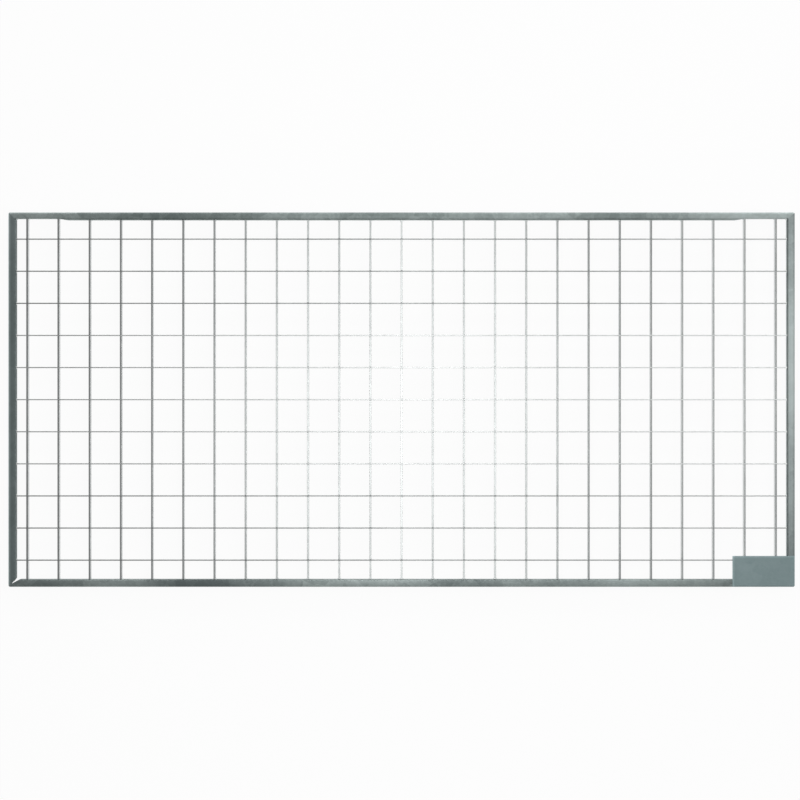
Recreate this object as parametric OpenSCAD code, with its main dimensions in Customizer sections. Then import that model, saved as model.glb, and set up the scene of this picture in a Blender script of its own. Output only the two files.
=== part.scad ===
// Light well grate: a pressed-mesh grating in a mitred angle frame, all of galvanised steel.
// It lies as in use: +X along its length, +Y towards the building, +Z up, origin at the bottom centre.

/* [Overall size] */
// Length over the frame
length = 840; // [400:10:1200]
// Width over the frame
width = 400; // [250:10:600]
// Height of the frame and depth of the bearing bars
height = 20; // [18:1:40]

/* [Frame] */
// Width of the top flange, which points outward
flange_width = 8; // [7:0.5:12]
// Thickness of the top flange
flange_thickness = 3; // [2.5:0.5:5]
// Thickness of the upright web
web_thickness = 3; // [2.5:0.25:3.5]
// Rounding of the flange's outer top edge
outer_round = 1; // [0.4:0.1:1.2]
// Rounding of the inner top edge
inner_round = 1.2; // [0.4:0.1:1.4]
// Fillet between the flange and the web
root_radius = 1.5; // [0.5:0.25:2]
// Rounding of the four outer corners, seen from above
corner_radius = 2; // [0.5:0.25:4]
// Opening of the front left mitre at its inner end
mitre_gap = 2.8; // [0.4:0.1:3.5]
// How far that opening reaches into the flange
mitre_gap_reach = 4.5; // [2:0.5:6]
// Share of that opening that the front bar leaves; the left bar leaves the rest
mitre_gap_front_share = 0.7; // [0.2:0.05:0.8]

/* [Bearing bars] */
// Thickness of a bearing bar
bearing_thickness = 2; // [1.5:0.25:4]
// Distance between the centres of two bearing bars
bearing_pitch = 33.33; // [22:0.01:50]
// Least clear gap between the frame and the bar beside it
edge_gap = 8; // [4:0.5:16]

/* [Cross bars] */
// Thickness of a cross bar
cross_thickness = 1.2; // [0.8:0.1:3]
// Depth of a cross bar, from the walking surface down
cross_depth = 10; // [5:0.5:14]
// Distance between the centres of two cross bars
cross_pitch = 34.3; // [22:0.1:50]
// Play of a cross bar in its slot
slot_play = 0.1; // [0.04:0.02:0.3]

/* [Back frame reliefs] */
// Depth of the relief at each end of the back frame bar, on its inner side
relief_depth = 1.4; // [0.4:0.1:1.8]
// Number of bearing bars that end in each relief
relief_bars = 2; // [1:1:3]
// Length over which each relief runs out
relief_run = 8.5; // [3:0.5:15]
// Play between the last bar in a relief and the start of its run-out
relief_play = 0.3; // [0.1:0.1:1]

/* [Corner plate] */
// Length of the plate, from the frame's right edge
plate_length = 66.5; // [40:0.5:120]
// Width of the plate, from the frame's front edge
plate_width = 33; // [20:0.5:80]
// Thickness of the plate
plate_thickness = 1.5; // [1:0.25:2]
// Play between the plate and the edges of its seat
plate_play = 0.1; // [0.04:0.02:0.3]

/* [Hidden] */
$fn = 48;
zinc_frame = "#8c9694";
zinc_bar = "#9aa3a2";
zinc_cross = "#a6aeac";
zinc_plate = "#7f8d8c";

// How far a cutting shape reaches past what it cuts
overcut = 1;

inner_length = length - 2 * flange_width;
inner_width = width - 2 * flange_width;

// As many bars at the pitch as leave at least the edge gap at both ends, centred
function bar_count(opening, thickness, pitch) =
    floor((opening - 2 * edge_gap - thickness) / pitch) + 1;
function bar_place(index, count, pitch) = (index - (count - 1) / 2) * pitch;

bearing_count = bar_count(inner_length, bearing_thickness, bearing_pitch);
cross_count = bar_count(inner_width, cross_thickness, cross_pitch);
bearing_places = [for (i = [0:bearing_count - 1]) bar_place(i, bearing_count, bearing_pitch)];
cross_places = [for (i = [0:cross_count - 1]) bar_place(i, cross_count, cross_pitch)];

slot_width = cross_thickness + slot_play;
plate_bottom = height - plate_thickness;

// The reliefs are at full depth beyond this distance from the middle, just inside their last bar
relief_start = bearing_places[bearing_count - relief_bars] - bearing_thickness / 2 - relief_play;

// Numbers from the left and from the front, with two digits
function numbered(stem, index) = str(stem, index < 9 ? "_0" : "_", index + 1);
bearing_names = [for (i = [0:bearing_count - 1]) numbered("bearing_bar", i)];
cross_names = [for (i = [0:cross_count - 1]) numbered("cross_bar", i)];

// What a rounding takes off a corner at the origin whose material lies towards +X and -Y
module corner_waste(radius) {
    difference() {
        translate([-overcut, -radius])
            square(radius + overcut);
        translate([radius, -radius])
            circle(radius);
    }
}

// Section of the frame: X from the outer edge inward, Y up
module frame_section() {
    web_outside = flange_width - web_thickness;
    flange_underside = height - flange_thickness;
    difference() {
        union() {
            translate([0, flange_underside])
                square([flange_width, flange_thickness]);
            translate([web_outside, 0])
                square([web_thickness, height]);
            translate([web_outside - root_radius, flange_underside - root_radius])
                square(root_radius);
        }
        translate([web_outside - root_radius, flange_underside - root_radius])
            circle(root_radius);
        translate([0, height])
            corner_waste(outer_round);
        translate([flange_width, height])
            mirror([1, 0])
                corner_waste(inner_round);
    }
}

// Outline of the whole grate from above, with its rounded corners
module outline() {
    square([length - 2 * corner_radius, width], center = true);
    square([length, width - 2 * corner_radius], center = true);
    for (x = [-1, 1], y = [-1, 1])
        translate([x * (length / 2 - corner_radius), y * (width / 2 - corner_radius)])
            circle(corner_radius);
}

// A frame bar along X with both ends mitred, its outer edge on the X axis and its inner side at +Y
module mitred_bar(bar_length) {
    intersection() {
        rotate([90, 0, 90])
            linear_extrude(bar_length, center = true)
                frame_section();
        linear_extrude(height)
            polygon([
                [-bar_length / 2, 0],
                [bar_length / 2, 0],
                [bar_length / 2 - flange_width, flange_width],
                [flange_width - bar_length / 2, flange_width]
            ]);
    }
}

// Carries a frame bar to its side of the grate: 0 front, 90 right, 180 back, 270 left
module on_side(angle) {
    edge = (angle % 180 == 0 ? width : length) / 2;
    rotate([0, 0, angle])
        translate([0, -edge, 0])
            children();
}

module outer_corners() {
    linear_extrude(height)
        outline();
}

// The front left mitre stands open at its inner end and closes towards the outer corner
module mitre_opening() {
    reach = mitre_gap_reach * sqrt(2);
    at_front = mitre_gap * mitre_gap_front_share;
    at_left = mitre_gap - at_front;
    tip = flange_width - mitre_gap_reach;
    translate([tip - length / 2, tip - width / 2, -overcut])
        rotate([0, 0, 45])
            linear_extrude(height + 2 * overcut)
                polygon([[0, 0], [2 * reach, -2 * at_front], [2 * reach, 2 * at_left]]);
}

// Set back at both ends, on the inner side of the back frame bar
module relief_cuts() {
    face = inner_width / 2;
    for (side = [0, 1])
        mirror([side, 0, 0])
            translate([0, 0, -overcut])
                linear_extrude(height + 2 * overcut)
                    polygon([
                        [relief_start - relief_run, face],
                        [relief_start, face + relief_depth],
                        [length / 2, face + relief_depth],
                        [length / 2, face - overcut],
                        [relief_start - relief_run, face - overcut]
                    ]);
}

// Seat of the corner plate, sunk into the frame and the bars so that the walking surface stays level
module plate_seat() {
    translate([
        length / 2 - plate_length - plate_play,
        -width / 2 - overcut,
        plate_bottom
    ])
        cube([
            plate_length + plate_play + overcut,
            plate_width + plate_play + overcut,
            plate_thickness + overcut
        ]);
}

module frame_front() {
    color(zinc_frame)
        difference() {
            intersection() {
                on_side(0)
                    mitred_bar(length);
                outer_corners();
            }
            mitre_opening();
            plate_seat();
        }
}

module frame_back() {
    color(zinc_frame)
        difference() {
            intersection() {
                on_side(180)
                    mitred_bar(length);
                outer_corners();
            }
            relief_cuts();
        }
}

module frame_left() {
    color(zinc_frame)
        difference() {
            intersection() {
                on_side(270)
                    mitred_bar(width);
                outer_corners();
            }
            mitre_opening();
        }
}

module frame_right() {
    color(zinc_frame)
        difference() {
            intersection() {
                on_side(90)
                    mitred_bar(width);
                outer_corners();
            }
            plate_seat();
        }
}

// One bearing bar, from web to web, with an open slot for each cross bar
module bearing_bar(index) {
    x = bearing_places[index];
    in_relief = abs(x) > relief_start;
    back_end = inner_width / 2 + (in_relief ? relief_depth : 0);
    color(zinc_bar)
        difference() {
            translate([x - bearing_thickness / 2, -inner_width / 2, 0])
                cube([bearing_thickness, back_end + inner_width / 2, height]);
            for (y = cross_places)
                translate([
                    x - bearing_thickness / 2 - overcut,
                    y - slot_width / 2,
                    height - cross_depth
                ])
                    cube([bearing_thickness + 2 * overcut, slot_width, cross_depth + overcut]);
            plate_seat();
        }
}

// One cross bar, from web to web, pressed into the slots until it is level with the top
module cross_bar(index) {
    y = cross_places[index];
    color(zinc_cross)
        difference() {
            translate([-inner_length / 2, y - cross_thickness / 2, height - cross_depth])
                cube([inner_length, cross_thickness, cross_depth]);
            plate_seat();
        }
}

// A plate over the front right corner, its outer edges rounded like the frame's
module corner_plate() {
    color(zinc_plate)
        intersection() {
            translate([length / 2 - plate_length, -width / 2, plate_bottom])
                cube([plate_length, plate_width, plate_thickness]);
            outer_corners();
            rotate([90, 0, 90])
                linear_extrude(length, center = true)
                    difference() {
                        translate([-width / 2, 0])
                            square([width, height]);
                        translate([-width / 2, height])
                            corner_waste(outer_round);
                    }
            rotate([90, 0, 0])
                linear_extrude(width, center = true)
                    difference() {
                        translate([-length / 2, 0])
                            square([length, height]);
                        translate([length / 2, height])
                            mirror([1, 0])
                                corner_waste(outer_round);
                    }
        }
}

frame_front();
frame_back();
frame_left();
frame_right();
corner_plate();
for (i = [0:bearing_count - 1])
    bearing_bar(i);
for (i = [0:cross_count - 1])
    cross_bar(i);
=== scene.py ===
import math
import random

import bmesh
import bpy
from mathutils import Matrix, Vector


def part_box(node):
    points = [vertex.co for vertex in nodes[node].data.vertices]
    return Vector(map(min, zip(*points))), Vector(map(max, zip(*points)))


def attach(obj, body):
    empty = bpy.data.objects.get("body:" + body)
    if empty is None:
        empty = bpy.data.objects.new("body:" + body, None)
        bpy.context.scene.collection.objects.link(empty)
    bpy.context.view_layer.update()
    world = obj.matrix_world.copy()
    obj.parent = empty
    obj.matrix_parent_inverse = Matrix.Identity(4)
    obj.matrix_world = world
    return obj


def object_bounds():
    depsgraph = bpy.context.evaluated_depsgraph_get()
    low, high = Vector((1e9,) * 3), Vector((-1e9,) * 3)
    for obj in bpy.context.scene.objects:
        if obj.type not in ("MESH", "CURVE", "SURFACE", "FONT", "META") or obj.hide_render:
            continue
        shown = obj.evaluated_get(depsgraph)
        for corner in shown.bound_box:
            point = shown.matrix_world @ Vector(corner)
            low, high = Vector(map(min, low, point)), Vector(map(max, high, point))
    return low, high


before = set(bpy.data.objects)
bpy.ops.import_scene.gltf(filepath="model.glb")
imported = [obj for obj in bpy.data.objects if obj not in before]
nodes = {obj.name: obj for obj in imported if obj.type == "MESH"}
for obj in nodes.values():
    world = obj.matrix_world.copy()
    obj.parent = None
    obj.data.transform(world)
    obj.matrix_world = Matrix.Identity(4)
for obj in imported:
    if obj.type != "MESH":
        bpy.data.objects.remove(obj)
cadLow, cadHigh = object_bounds()
bearingBars = sorted(name for name in nodes if name.startswith("bearing_bar"))
crossBars = sorted(name for name in nodes if name.startswith("cross_bar"))
walkTop = cadHigh.z  # the walking surface
mm = 0.001
flangeWidth = cadHigh.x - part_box(crossBars[1])[1].x  # from the outer edge to the inside of the frame
print("frame loaded:", len(nodes), "nodes")


# Shader nodes written as arithmetic
class Wire:  # one socket
    def __init__(self, mixer, socket):
        self.mixer = mixer
        self.socket = socket

    def math(self, operation, first, second):
        return self.mixer.node("Math", {"operation": operation}, {0: first, 1: second})

    def __add__(self, other):
        return self.math("ADD", self, other)

    def __radd__(self, other):
        return self.math("ADD", other, self)

    def __sub__(self, other):
        return self.math("SUBTRACT", self, other)

    def __rsub__(self, other):
        return self.math("SUBTRACT", other, self)

    def __mul__(self, other):
        return self.math("MULTIPLY", self, other)

    def __rmul__(self, other):
        return self.math("MULTIPLY", other, self)


class Mixer:  # one node tree being filled
    def __init__(self, tree):
        self.tree = tree
        tree.nodes.clear()

    def node(self, kind, settings=None, values=None, out=0):
        made = self.tree.nodes.new("ShaderNode" + kind)
        for key, value in (settings or {}).items():
            setattr(made, key, value)
        for key, value in (values or {}).items():
            if isinstance(value, Wire):
                self.tree.links.new(value.socket, made.inputs[key])
            else:
                made.inputs[key].default_value = value
        return Wire(self, made.outputs[out]) if made.outputs else made

    def colour(self, factor, first, second):
        return self.node("Mix", {"data_type": "RGBA"}, {0: factor, 6: first, 7: second}, 2)

    def vector(self, operation, first, second):
        return self.node("VectorMath", {"operation": operation}, {0: first, 1: second})

    def scaled(self, vector, factor):
        return self.node("VectorMath", {"operation": "SCALE"}, {0: vector, "Scale": factor})

    def along(self, place, direction):  # how far a place lies in a direction
        return self.node("VectorMath", {"operation": "DOT_PRODUCT"}, {0: place, 1: direction}, 1)

    def lighten(self, colour, share):  # by a share of itself; a negative one darkens
        return self.scaled(colour, share + 1)

    def ease(self, value, low, high):  # 0 below low, 1 above high
        spread = {"Value": value, "From Min": low, "From Max": high}
        return self.node("MapRange", {"interpolation_type": "SMOOTHSTEP"}, spread)

    def noise(self, place, scale, detail=2.0, roughness=0.5):
        values = {"Vector": place, "Scale": scale, "Detail": detail, "Roughness": roughness}
        return self.node("TexNoise", {}, values)


def newMaterial(name):
    material = bpy.data.materials.new(name)
    material.use_nodes = True
    return material, Mixer(material.node_tree)


def grey(level):
    return (level, level, level, 1.0)


# Hot-dip zinc: what all the pieces share
zinc = {
    "metallic": 0.86,
    "spangleSize": 11 * mm,
    "frostSize": 2.6 * mm,
    "cloudSize": 70 * mm,
    "driftSize": 190 * mm,
    "streakStretch": 14.0,
    "grainSize": 0.9 * mm,
    # reach and depth of the painted shade round each crossing
    "crossingShadeReach": 2.4 * mm,
    "crossingShadeDepth": 0.05,
    "edgeLightWidth": 2.8 * mm,
}


def paintedCrossingShade(mixer, axes):
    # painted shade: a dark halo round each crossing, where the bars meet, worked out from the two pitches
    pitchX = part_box(bearingBars[1])[0].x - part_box(bearingBars[0])[0].x
    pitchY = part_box(crossBars[1])[0].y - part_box(crossBars[0])[0].y
    offX = mixer.node("Math", {"operation": "PINGPONG"}, {0: axes["x"], 1: pitchX / 2})
    offY = mixer.node("Math", {"operation": "PINGPONG"}, {0: axes["y"], 1: pitchY / 2})
    reach = zinc["crossingShadeReach"]
    near = offX * offX + offY * offY
    return 1 - mixer.ease(near, (0.3 * reach) ** 2, reach ** 2)


def zincMaterial(finish):
    material, mixer = newMaterial(finish["name"])
    place = mixer.node("TexCoord", out="Object")
    axes = {
        axis: mixer.node("SeparateXYZ", {}, {0: place}, index)
        for index, axis in enumerate("xyz")
    }
    shifted = mixer.vector("ADD", place, finish["seed"])

    # crystals: a few millimetres of frost inside centimetre spangles
    spangleScale = {"Vector": shifted, "Scale": 1 / zinc["spangleSize"]}
    spangle = mixer.node("TexVoronoi", {}, spangleScale, out="Color")
    frostScale = {"Vector": shifted, "Scale": 1 / zinc["frostSize"]}
    frost = mixer.node("TexVoronoi", {}, frostScale, out="Color")
    spangleTone = mixer.node("SeparateColor", {}, {0: spangle}, 0)
    frostTone = mixer.node("SeparateColor", {}, {0: frost}, 1)

    # slow changes of the coat along a bar, and drawn streaks
    clouds = mixer.noise(shifted, 1 / zinc["cloudSize"], 4.0)
    drift = mixer.noise(shifted, 1 / zinc["driftSize"], 1.0)
    stretch = {"Vector": shifted, "Scale": finish["streakScale"]}
    streaks = mixer.noise(mixer.node("Mapping", {}, stretch), 1.0, 3.0)
    grain = mixer.noise(shifted, 1 / zinc["grainSize"], 3.0, 0.6)

    normal = mixer.node("TexCoord", out="Normal")
    upward = mixer.node("SeparateXYZ", {}, {0: normal}, 2)
    side = 1 - mixer.ease(upward, *finish["sideFacing"])
    tone = (
        (spangleTone - 0.5) * finish["spangle"]
        + (frostTone - 0.5) * finish["frost"]
        + (clouds - 0.5) * finish["clouds"]
        + (drift - 0.5) * finish["drift"]
        + (streaks - 0.5) * finish["streaks"]
        + 0.5
    )
    for axis, at, reach, strength in finish["paintedLightPatches"]:  # painted highlights and painted shade: lighter and darker stretches of the top, where the light fell unevenly
        off = mixer.node("Math", {"operation": "ABSOLUTE"}, {0: axes[axis] - at * mm})
        paintedPatch = 1 - mixer.ease(off, reach * mm * finish["patchCore"], reach * mm)
        tone = tone + paintedPatch * (1 - side) * strength
    colour = mixer.colour(mixer.ease(tone, 0.0, 1.0), finish["dark"], finish["light"])
    roughness = finish["roughness"] + (0.5 - tone) * finish["roughnessSpread"]
    # painted shade round each crossing, varied by the clouds
    if finish["crossingShaded"]:
        crossingShade = paintedCrossingShade(mixer, axes) * (0.6 + clouds)
        colour = mixer.colour(crossingShade * zinc["crossingShadeDepth"], colour, finish["crossingShade"])

    # painted light: the bars' upright faces are painted lighter than the walking surface, lifting the shade
    # between them; the frame's keep their colour
    paintedSideLight = mixer.vector("MULTIPLY", colour, finish["sideLightening"])
    colour = mixer.colour(side, colour, paintedSideLight)
    roughness = roughness + side * finish["sideRoughness"]

    # painted highlights along most rounded outer edges and painted shade along the right frame's; the inner edges
    # and faces get painted shade and painted light below
    for outward, light in finish["edgeLights"]:
        edge = edgeOf(finish["on"], outward)
        paintedEdgeLight = mixer.ease(mixer.along(place, outward), edge - zinc["edgeLightWidth"], edge)
        colour = mixer.lighten(colour, paintedEdgeLight * (1 - side) * light)
    # painted shade: a darker strip along the inner edge of the frame's top
    if finish["innerShadeStrip"]:
        width, shade = finish["innerShadeStrip"]
        inward = finish["inside"] + width - mixer.along(place, finish["outward"])
        colour = mixer.lighten(colour, mixer.ease(inward, 0.0, width) * (shade - 1) * (1 - side))
    # painted light: the upright faces that look into the grate are painted lighter
    if finish["innerFaceLight"] != 1.0:
        facingIn = mixer.ease(0 - mixer.along(normal, finish["outward"]), 0.3, 0.8)
        colour = mixer.lighten(colour, facingIn * (finish["innerFaceLight"] - 1))

    bump = {
        "Height": grain + streaks * 0.6 + frostTone * 0.25,
        "Distance": finish["grainHeight"],
        "Strength": 1.0,
    }
    # every spangle lies at its own small angle
    lean = mixer.scaled(mixer.vector("SUBTRACT", spangle, (0.5, 0.5, 0.5)), finish["spangleTilt"])
    facing = mixer.vector("ADD", mixer.node("NewGeometry", out="Normal"), lean)
    if finish["crown"]:
        # a rolled bar is a little crowned, from its outer edge to its inner one
        middle = finish["inside"] + flangeWidth / 2
        turn = (mixer.along(place, finish["outward"]) - middle) * (2 * finish["crown"] / flangeWidth)
        facing = mixer.vector("ADD", facing, mixer.scaled(finish["outward"], turn * (1 - side)))
    bump["Normal"] = mixer.node("VectorMath", {"operation": "NORMALIZE"}, {0: facing})

    shader = mixer.node("BsdfPrincipled", {}, {
        "Base Color": colour,
        "Metallic": zinc["metallic"],
        "Roughness": roughness,
        "Specular IOR Level": 0.3,
        "Normal": mixer.node("Bump", {}, bump),
    })
    mixer.node("OutputMaterial", {}, {"Surface": shader})
    return material


def streakAlong(axis):
    # drawn streaks are long in the direction in which the bar was rolled
    long, short = 1 / (60 * mm), 1 / (60 * mm) * zinc["streakStretch"]
    return tuple(long if name == axis else short for name in "xyz")


# each side of the frame gets its own tone: the left is painted darkest and the right lightest, painted shade and
# painted light for light falling from the right and back
frameFinishesAndPaintedLight = {
    "frame_left": {
        "dark": (0.125, 0.157, 0.153, 1),
        "light": (0.215, 0.255, 0.255, 1),
        "axis": "y",
        "outward": (-1, 0, 0),
        "edgeLights": [((-1, 0, 0), 1.2)],
        "crown": 0.0,
        "innerShadeStrip": (2.5 * mm, 0.85),
        "innerFaceLight": 1.15,
        "paintedLightPatches": [("y", 190, 90, 0.35)],
    },
    "frame_back": {
        "dark": (0.15, 0.183, 0.178, 1),
        "light": (0.44, 0.50, 0.49, 1),
        "axis": "x",
        "outward": (0, 1, 0),
        "edgeLights": [((0, 1, 0), 0.4)],
        "crown": 0.04,
        "innerShadeStrip": (3.8 * mm, 0.72),
        "innerFaceLight": 1.4,
        "paintedLightPatches": [
            ("x", -390, 60, 0.12), ("x", -225, 150, -0.38), ("x", -100, 60, 0.12),
            ("x", -40, 120, -0.24),
            ("x", 120, 100, 0.14), ("x", 235, 70, -0.15), ("x", 390, 120, 0.36),
        ],
    },
    "frame_right": {
        "dark": (0.24, 0.275, 0.275, 1),
        "light": (0.47, 0.53, 0.525, 1),
        "axis": "y",
        "outward": (1, 0, 0),
        "edgeLights": [((1, 0, 0), -0.25)],
        "crown": 0.03,
        "innerShadeStrip": (2.0 * mm, 0.25),
        "innerFaceLight": 1.2,
        "paintedLightPatches": [("y", 165, 60, -0.12), ("y", 50, 150, 0.35), ("y", -180, 90, -0.34)],
    },
    "frame_front": {
        "dark": (0.125, 0.15, 0.15, 1),
        "light": (0.385, 0.44, 0.43, 1),
        "axis": "x",
        "outward": (0, -1, 0),
        "edgeLights": [((0, -1, 0), 0.1)],
        "crown": 0.10,
        "innerShadeStrip": None,
        "innerFaceLight": 1.3,
        "paintedLightPatches": [
            ("x", -395, 50, -0.15), ("x", -310, 60, 0.10), ("x", -210, 90, -0.40),
            ("x", -45, 80, 0.08), ("x", 70, 80, -0.22), ("x", 180, 80, -0.12),
            ("x", 250, 90, 0.12),
        ],
    },
    "corner_plate": {
        "dark": (0.21, 0.285, 0.29, 1),
        "light": (0.29, 0.365, 0.375, 1),
        "axis": "x",
        "edgeLights": [((-1, 0, 0), 0.4), ((0, 1, 0), 0.35)],
        "crown": 0.0,
        "innerShadeStrip": None,
        "innerFaceLight": 1.0,
        "paintedLightPatches": [],
    },
}
frameCoat = {
    "patchCore": 0.0,  # the share of a patch that is even
    "sideFacing": (0.05, 0.6),  # how far upward a face may look and still be one
    "sideLightening": (1.0, 1.0, 1.0),
    "sideRoughness": 0.1,
    "roughness": 0.50,
    "roughnessSpread": 0.10,
    "spangle": 0.16,
    "spangleTilt": 0.014,
    "frost": 0.10,
    "clouds": 0.36,
    "drift": 0.35,
    "streaks": 0.2,
    "grainHeight": 0.03 * mm,
    "crossingShaded": False,
}
barCoat = {
    "patchCore": 0.65,
    "sideFacing": (0.5, 0.95),
    # painted light on the bars' upright faces
    "sideLightening": (1.3, 1.3, 1.3),
    "sideRoughness": -0.05,
    "roughness": 0.38,
    "roughnessSpread": 0.06,
    "spangle": 0.14,
    "spangleTilt": 0.002,
    "frost": 0.06,
    "clouds": 0.45,
    "drift": 0.45,
    "streaks": 0.15,
    "grainHeight": 0.004 * mm,
    "crossingShaded": True,
    # colour of the painted shade round the crossings
    "crossingShade": (0.16, 0.17, 0.17, 1),
    "crown": 0.0,
    "edgeLights": [],
    "innerShadeStrip": None,
    "innerFaceLight": 1.0,
    "paintedLightPatches": [],
}
barFinishesAndPaintedLight = {
    "bearing_bar": {
        "dark": (0.24, 0.25, 0.25, 1),
        "light": (0.64, 0.665, 0.66, 1),
        "axis": "y",
        "spangle": 0.06,
        "frost": 0.025,
        "clouds": 0.19,
        "drift": 0.19,
        "streaks": 0.06,
        # painted highlights and painted shade along the bearing bars, lightest round the middle
        "paintedLightPatches": [
            ("x", -310, 135, -0.19), ("x", -120, 50, 0.10), ("x", 112, 50, 0.14),
            ("x", 233, 60, -0.17), ("x", 400, 30, -0.14), ("y", 150, 100, -0.03),
            ("x", 0, 25, 0.12), ("x", 133, 25, -0.05),
        ],
    },
    "cross_bar": {
        "dark": (0.19, 0.20, 0.20, 1),
        "light": (0.80, 0.82, 0.815, 1),
        "axis": "x",
        "spangle": 0.05,
        "frost": 0.03,
        "clouds": 0.13,
        "drift": 0.13,
        "streaks": 0.06,
        # the middle rows get a painted highlight; the left and middle of every row get painted shade
        "paintedLightPatches": [("y", 0, 104, 0.28), ("x", -150, 450, -0.22), ("x", -95, 90, -0.06)],
    },
    "weld": {"dark": (0.36, 0.39, 0.39, 1), "light": (0.58, 0.62, 0.61, 1), "axis": "z"},
}


def edgeOf(name, outward):  # how far the piece reaches in that direction
    return max(Vector(corner).dot(Vector(outward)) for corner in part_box(name))


def finishFor(name, coat, tones, seed):
    finish = {**coat, **tones, "on": name, "name": name + "Zinc", "seed": seed}
    if name.startswith("frame"):
        finish["inside"] = edgeOf(name, finish["outward"]) - flangeWidth
    finish["streakScale"] = streakAlong(tones["axis"])
    return zincMaterial(finish)


materials = {}
for order, (name, tones) in enumerate(frameFinishesAndPaintedLight.items()):
    materials[name] = finishFor(name, frameCoat, tones, (0.37 * order, 0.21 * order, 0.0))
for order, (name, tones) in enumerate(barFinishesAndPaintedLight.items()):
    materials[name] = finishFor(name, barCoat, tones, (1.7 + order, 0.4, 0.1))
print("zinc mixed:", len(materials), "materials")


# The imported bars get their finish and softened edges
edges = {
    "seam": 0.002 * mm,  # vertices closer than this are one
    "bar": 0.22 * mm,
    "frame": 0.35 * mm,
    "corner_plate": 0.25 * mm,
    "segments": 2,
    "angle": math.radians(40),
}


def flatFacesGroup():
    # drops the imported normals, which don't fit once the edges are rounded
    group = bpy.data.node_groups.new("flatFaces", "GeometryNodeTree")
    for direction in ("INPUT", "OUTPUT"):
        group.interface.new_socket("Geometry", in_out=direction, socket_type="NodeSocketGeometry")
    start = group.nodes.new("NodeGroupInput")
    drop = group.nodes.new("GeometryNodeRemoveAttribute")
    drop.inputs["Name"].default_value = "custom_normal"
    flat = group.nodes.new("GeometryNodeSetShadeSmooth")
    flat.inputs["Shade Smooth"].default_value = False
    end = group.nodes.new("NodeGroupOutput")
    for first, second in ((start, drop), (drop, flat), (flat, end)):
        group.links.new(first.outputs[0], second.inputs[0])
    return group


flatFaces = flatFacesGroup()


def softenEdges(piece, width):
    weld = piece.modifiers.new("seams", "WELD")
    weld.merge_threshold = edges["seam"]
    flat = piece.modifiers.new("flatFaces", "NODES")
    flat.node_group = flatFaces
    bevel = piece.modifiers.new("edges", "BEVEL")
    bevel.width = width
    bevel.segments = edges["segments"]
    bevel.limit_method = "ANGLE"
    bevel.angle_limit = edges["angle"]


for name, piece in nodes.items():
    stem = name if name in materials else name.rsplit("_", 1)[0]
    for slot in piece.material_slots:
        slot.material = materials[stem]
    width = edges.get(name, edges["frame"] if name.startswith("frame") else edges["bar"])
    softenEdges(piece, width)
print("bars finished")


# Beads of weld and zinc in the corners
random.seed(41)


def bead(mesh, corner, sides, heights, leg, bulge, ripple, rings):
    # a closed fillet in an upright inside corner; sides says which way its two legs run
    sink = 0.12 * leg
    steps = 5
    low, high = heights
    loops = []
    for ring in range(rings + 1):
        share = ring / rings
        swell = min(1.0, 0.35 + 2.6 * min(share, 1 - share))
        size = leg * swell * (1 + random.uniform(-ripple, ripple))
        section = [(-sink, -sink), (size, -sink)]
        for step in range(steps):
            turn = step / (steps - 1)
            push = bulge * size * math.sin(math.pi * turn)
            section.append((size * (1 - turn) + push, size * turn + push))
        section.append((-sink, size))
        z = low + (high - low) * share
        loops.append([
            mesh.verts.new((corner[0] + sides[0] * u, corner[1] + sides[1] * v, z))
            for u, v in section
        ])
    count = len(loops[0])
    for lower, upper in zip(loops, loops[1:]):
        for a in range(count):
            b = (a + 1) % count
            mesh.faces.new((lower[a], lower[b], upper[b], upper[a]))
    mesh.faces.new(loops[0])
    mesh.faces.new(loops[-1])


def pieceFrom(mesh, name, material):
    bmesh.ops.recalc_face_normals(mesh, faces=mesh.faces)
    data = bpy.data.meshes.new(name)
    mesh.to_mesh(data)
    mesh.free()
    data.materials.append(material)
    piece = bpy.data.objects.new(name, data)
    bpy.context.scene.collection.objects.link(piece)
    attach(piece, "root")
    return piece


barWeld = {"leg": 1.3 * mm, "low": 2.5 * mm, "high": 14 * mm, "bulge": 0.08, "ripple": 0.10, "rings": 11}
crossWeld = {"leg": 0.9 * mm, "low": 10.6 * mm, "high": 16 * mm, "bulge": 0.05, "ripple": 0.08, "rings": 6}
mitreWeld = {"leg": 1.5 * mm, "low": 1.5 * mm, "high": 15.5 * mm, "bulge": 0.10, "ripple": 0.12, "rings": 16}
crossingZinc = {"leg": 0.35 * mm, "low": 10.3 * mm, "high": 19.4 * mm, "bulge": -0.12, "ripple": 0.12, "rings": 4}


def addBead(mesh, corner, sides, sizes, top=walkTop):
    heights = (sizes["low"], min(sizes["high"], top))
    bead(mesh, corner, sides, heights, sizes["leg"], sizes["bulge"], sizes["ripple"], sizes["rings"])


for side, name in ((1, "weld_front"), (-1, "weld_back")):
    mesh = bmesh.new()
    for bar in bearingBars:
        low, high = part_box(bar)
        end = low.y if side == 1 else high.y
        addBead(mesh, (low.x, end), (-1, side), barWeld)
        addBead(mesh, (high.x, end), (1, side), barWeld)
    pieceFrom(mesh, name, materials["weld"])

for side, name in ((1, "weld_left"), (-1, "weld_right")):
    mesh = bmesh.new()
    for bar in crossBars:
        low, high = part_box(bar)
        end = low.x if side == 1 else high.x
        addBead(mesh, (end, low.y), (side, -1), crossWeld)
        addBead(mesh, (end, high.y), (side, 1), crossWeld)
    pieceFrom(mesh, name, materials["weld"])

# the front left mitre is open, so it has no bead
mesh = bmesh.new()
firstBar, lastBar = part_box(bearingBars[0]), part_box(bearingBars[-1])
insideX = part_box(crossBars[1])[1].x
for corner, sides in (
    ((-insideX, firstBar[1].y), (1, -1)),
    ((insideX, lastBar[1].y), (-1, -1)),
    ((insideX, lastBar[0].y), (-1, 1)),
):
    addBead(mesh, corner, sides, mitreWeld)
pieceFrom(mesh, "weld_mitres", materials["weld"])

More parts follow.
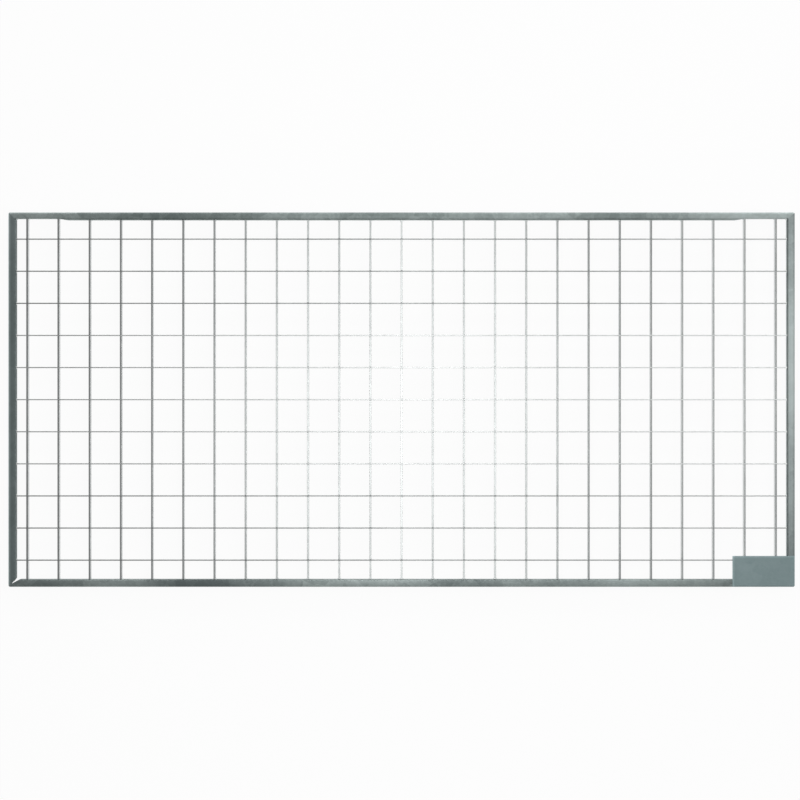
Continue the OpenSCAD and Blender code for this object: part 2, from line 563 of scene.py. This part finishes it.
# zinc that ran into the corners of each crossing
mesh = bmesh.new()
plateLow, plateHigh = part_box("corner_plate")
for bar in bearingBars:
    barLow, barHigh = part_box(bar)
    for cross in crossBars:
        crossLow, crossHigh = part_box(cross)
        covered = barHigh.x > plateLow.x and crossLow.y < plateHigh.y
        top = plateLow.z - crossingZinc["leg"] if covered else walkTop
        for x, sideX in ((barLow.x, -1), (barHigh.x, 1)):
            for y, sideY in ((crossLow.y, -1), (crossHigh.y, 1)):
                addBead(mesh, (x, y), (sideX, sideY), crossingZinc, top)
pieceFrom(mesh, "crossing_zinc", materials["bearing_bar"])
print("beads added")


# Floor, light and camera
studio = {
    "floorSize": 24.0,
    "floorColour": grey(0.92),
    "floorWhite": 0.945,  # how much of the floor is plain white to the camera
    "horizon": 0.97,
    "zenith": 0.30,
    "skyLeast": 0.08,
    "skySlope": (0.22, 0.42, 0.0),
    "skyStart": 0.2,
    "skyEnd": 0.6,
}


def makeFloor():
    bpy.ops.mesh.primitive_plane_add(size=studio["floorSize"])
    floor = bpy.context.object
    floor.name = "floor"
    material, mixer = newMaterial("paleFloor")
    rays = mixer.node("LightPath", out="Is Camera Ray")
    rays = rays + mixer.node("LightPath", out="Is Glossy Ray")
    rays = rays + mixer.node("LightPath", out="Is Transmission Ray")
    seen = mixer.node("Math", {"operation": "MINIMUM"}, {0: rays, 1: 1.0}) * studio["floorWhite"]
    matt = mixer.node("BsdfDiffuse", {}, {"Color": studio["floorColour"]})
    white = mixer.node("Emission", {}, {"Strength": 1.0})
    mixer.node("OutputMaterial", {}, {
        "Surface": mixer.node("MixShader", {}, {0: seen, 1: matt, 2: white})
    })
    floor.data.materials.append(material)


def makeWorld():
    # white near the horizon, dimmer overhead, and lighter towards the back right
    world = bpy.data.worlds.new("studio")
    world.use_nodes = True
    bpy.context.scene.world = world
    mixer = Mixer(world.node_tree)
    direction = mixer.node("TexCoord", out="Generated")
    up = mixer.node("SeparateXYZ", {}, {0: direction}, 2)
    slope = mixer.node("VectorMath", {"operation": "DOT_PRODUCT"}, {0: direction, 1: studio["skySlope"]}, 1)
    level = mixer.node("Clamp", {}, {"Value": slope + studio["zenith"], "Min": studio["skyLeast"], "Max": studio["horizon"]})
    sky = mixer.ease(up, studio["skyStart"], studio["skyEnd"])
    tone = sky * level + (1 - sky) * studio["horizon"]
    mixer.node("OutputWorld", {}, {"Surface": mixer.node("Background", {}, {"Color": tone})})


lamps = {
    "glare": {"at": (-0.005, -0.02, 0.85), "aim": (-0.005, -0.02, 0), "size": (0.16, 0.4), "watts": 1.48},
    "rightBox": {"at": (0.80, 0.10, 1.10), "aim": (0.2, 0, 0), "size": (0.5, 0.8), "watts": 2.2},
    "backKey": {"at": (0.10, 1.30, 0.90), "aim": (0, 0, 0), "size": (1.4, 0.4), "watts": 5.0},
}


def makeLamp(name, spec):
    data = bpy.data.lights.new(name, "AREA")
    data.shape = "RECTANGLE"
    data.size, data.size_y = spec["size"]
    data.energy = spec["watts"]
    lamp = bpy.data.objects.new(name, data)
    lamp.location = spec["at"]
    ray = Vector(spec["aim"]) - Vector(spec["at"])
    lamp.rotation_euler = ray.to_track_quat("-Z", "Y").to_euler()
    lamp.visible_camera = False
    bpy.context.scene.collection.objects.link(lamp)


cameraSpot = {
    "height": 6.0,  # above the walking surface
    "imageWidth": 0.85456,  # what the picture's width takes in at that surface
    "offset": (-0.0017, -0.0004),
    "sensor": 36.0,
}


def makeCamera():
    data = bpy.data.cameras.new("above")
    data.sensor_width = cameraSpot["sensor"]
    data.lens = cameraSpot["sensor"] * cameraSpot["height"] / cameraSpot["imageWidth"]
    data.clip_end = 100
    camera = bpy.data.objects.new("above", data)
    camera.location = (*cameraSpot["offset"], walkTop + cameraSpot["height"])
    bpy.context.scene.collection.objects.link(camera)
    bpy.context.scene.camera = camera


makeFloor()
makeWorld()
for name, spec in lamps.items():
    makeLamp(name, spec)
makeCamera()
bpy.context.scene.view_settings.view_transform = "Standard"
print("studio ready")
